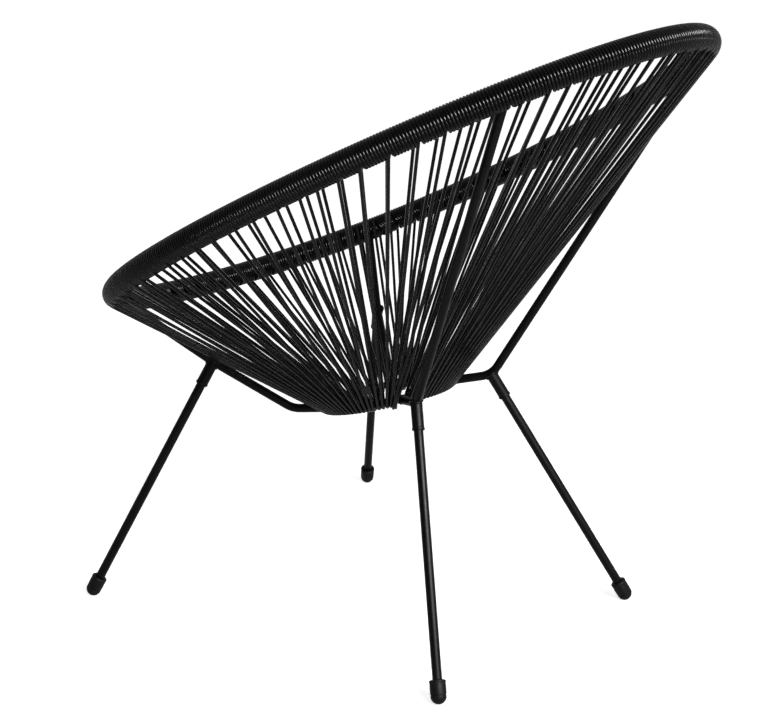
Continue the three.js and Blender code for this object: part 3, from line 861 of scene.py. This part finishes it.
def dress_frame(coat, zinc):
    """The rim's tube and the nuts and studs, which hardly show, keep their shape and get their finish."""
    for name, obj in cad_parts.items():
        if name == "rim_tube" or "_nut_" in name or "_stud_" in name:
            obj.data.materials.clear()
            obj.data.materials.append(coat if name == "rim_tube" else zinc)


def seen_directly(tree):
    """1 for rays from the camera, and for those that a shiny or a clear surface sends on; else 0."""
    path = tree.nodes.new("ShaderNodeLightPath")
    either = tree.nodes.new("ShaderNodeMath")
    either.operation = "MAXIMUM"
    tree.links.new(path.outputs["Is Camera Ray"], either.inputs[0])
    tree.links.new(path.outputs["Is Glossy Ray"], either.inputs[1])
    all_three = tree.nodes.new("ShaderNodeMath")
    all_three.operation = "MAXIMUM"
    tree.links.new(either.outputs["Value"], all_three.inputs[0])
    tree.links.new(path.outputs["Is Transmission Ray"], all_three.inputs[1])
    return all_three.outputs["Value"]


def floor_and_backdrop():
    """A wide white floor that keeps the chair's shadow and is pure white away from it."""
    mesh = bpy.data.meshes.new("floor")
    corners = [(x * FLOOR_HALF, y * FLOOR_HALF, 0) for x, y in ((-1, -1), (1, -1), (1, 1), (-1, 1))]
    mesh.from_pydata(corners, [], [(0, 1, 2, 3)])
    floor = bpy.data.objects.new("floor", mesh)
    bpy.context.scene.collection.objects.link(floor)
    made, shader, tree = material("floor_white")
    shader.inputs["Base Color"].default_value = FLOOR_COLOUR
    shader.inputs["Roughness"].default_value = 0.9
    shader.inputs["Specular IOR Level"].default_value = 0.0
    shader.inputs["Emission Color"].default_value = WHITE
    glow = tree.nodes.new("ShaderNodeMath")
    glow.operation = "MULTIPLY"
    glow.inputs[1].default_value = FLOOR_GLOW_SHARE
    tree.links.new(seen_directly(tree), glow.inputs[0])
    tree.links.new(glow.outputs["Value"], shader.inputs["Emission Strength"])
    mesh.materials.append(made)


def behind_chair(tree):
    """1 for directions on the far side of the chair from the camera, falling to 0 on the camera's side."""
    place = tree.nodes.new("ShaderNodeTexCoord")
    facing = tree.nodes.new("ShaderNodeVectorMath")
    facing.operation = "DOT_PRODUCT"
    facing.inputs[1].default_value = (-math.sin(CAMERA_AZIMUTH), math.cos(CAMERA_AZIMUTH), 0)
    tree.links.new(place.outputs["Generated"], facing.inputs[0])
    fade = tree.nodes.new("ShaderNodeMapRange")
    fade.interpolation_type = "SMOOTHSTEP"
    fade.inputs["From Min"].default_value = -BACKDROP_FADE
    fade.inputs["From Max"].default_value = BACKDROP_FADE
    tree.links.new(facing.outputs["Value"], fade.inputs["Value"])
    return fade.outputs["Result"]


def studio():
    """A dim even surround that is white to the camera, and to reflections where it is behind the chair."""
    world = bpy.data.worlds.new("studio")
    bpy.context.scene.world = world
    world.use_nodes = True
    tree = world.node_tree
    tree.nodes.clear()
    lit = tree.nodes.new("ShaderNodeBackground")
    lit.inputs["Color"].default_value = WHITE
    lit.inputs["Strength"].default_value = SURROUND_STRENGTH
    seen = tree.nodes.new("ShaderNodeBackground")
    seen.inputs["Color"].default_value = WHITE
    seen.inputs["Strength"].default_value = 1
    blend = tree.nodes.new("ShaderNodeMixShader")
    out = tree.nodes.new("ShaderNodeOutputWorld")
    backdrop = tree.nodes.new("ShaderNodeMath")
    backdrop.operation = "MULTIPLY"
    tree.links.new(seen_directly(tree), backdrop.inputs[0])
    tree.links.new(behind_chair(tree), backdrop.inputs[1])
    path = tree.nodes.new("ShaderNodeLightPath")
    white = tree.nodes.new("ShaderNodeMath")
    white.operation = "MAXIMUM"
    tree.links.new(backdrop.outputs["Value"], white.inputs[0])
    tree.links.new(path.outputs["Is Camera Ray"], white.inputs[1])
    tree.links.new(white.outputs["Value"], blend.inputs["Fac"])
    tree.links.new(lit.outputs["Background"], blend.inputs[1])
    tree.links.new(seen.outputs["Background"], blend.inputs[2])
    tree.links.new(blend.outputs["Shader"], out.inputs["Surface"])


def away_from_chair(azimuth, elevation):
    """The way to something that looks at the chair: azimuth 0 is in front, a quarter turn on its left."""
    return Vector(
        (
            math.sin(azimuth) * math.cos(elevation),
            -math.cos(azimuth) * math.cos(elevation),
            math.sin(elevation),
        )
    )


def lamp(name, degrees_up, distance, width, height, power):
    """A soft lamp that faces the chair."""
    light = bpy.data.lights.new(name, "AREA")
    light.shape = "RECTANGLE"
    light.size = width
    light.size_y = height
    light.energy = power
    obj = bpy.data.objects.new(name, light)
    bpy.context.scene.collection.objects.link(obj)
    away = away_from_chair(LAMP_AZIMUTH, math.radians(degrees_up))
    obj.location = LAMP_TARGET + away * distance
    obj.rotation_euler = away.to_track_quat("Z", "Y").to_euler()
    return obj


def photo_camera():
    back = away_from_chair(CAMERA_AZIMUTH, CAMERA_ELEVATION)
    level = (-back).cross(Vector((0, 0, 1))).normalized()
    upright = level.cross(-back)
    right = math.cos(CAMERA_ROLL) * level + math.sin(CAMERA_ROLL) * upright
    up = math.cos(CAMERA_ROLL) * upright - math.sin(CAMERA_ROLL) * level
    turn = Matrix((right, up, back)).transposed()
    data = bpy.data.cameras.new("photo_camera")
    data.lens = CAMERA_LENS
    data.sensor_width = SENSOR_WIDTH
    data.sensor_fit = "HORIZONTAL"
    data.clip_end = VIEW_DEPTH
    camera = bpy.data.objects.new("photo_camera", data)
    bpy.context.scene.collection.objects.link(camera)
    camera.location = CAMERA_PLACE
    camera.rotation_euler = turn.to_euler()
    bpy.context.scene.camera = camera


photo_camera()
studio()
lamp(*KEY_LAMP)
for sheen_lamp in SHEEN_LAMPS:
    lamp(*sheen_lamp).visible_diffuse = False
floor_and_backdrop()
coat = powder_coat()
sweep = sweep_tree()
dress_frame(coat, plated_zinc())
smooth_frame(sweep, coat, foot_rubber())
string_cord(sweep, cord_vinyl())
bpy.context.scene.view_settings.view_transform = "Standard"
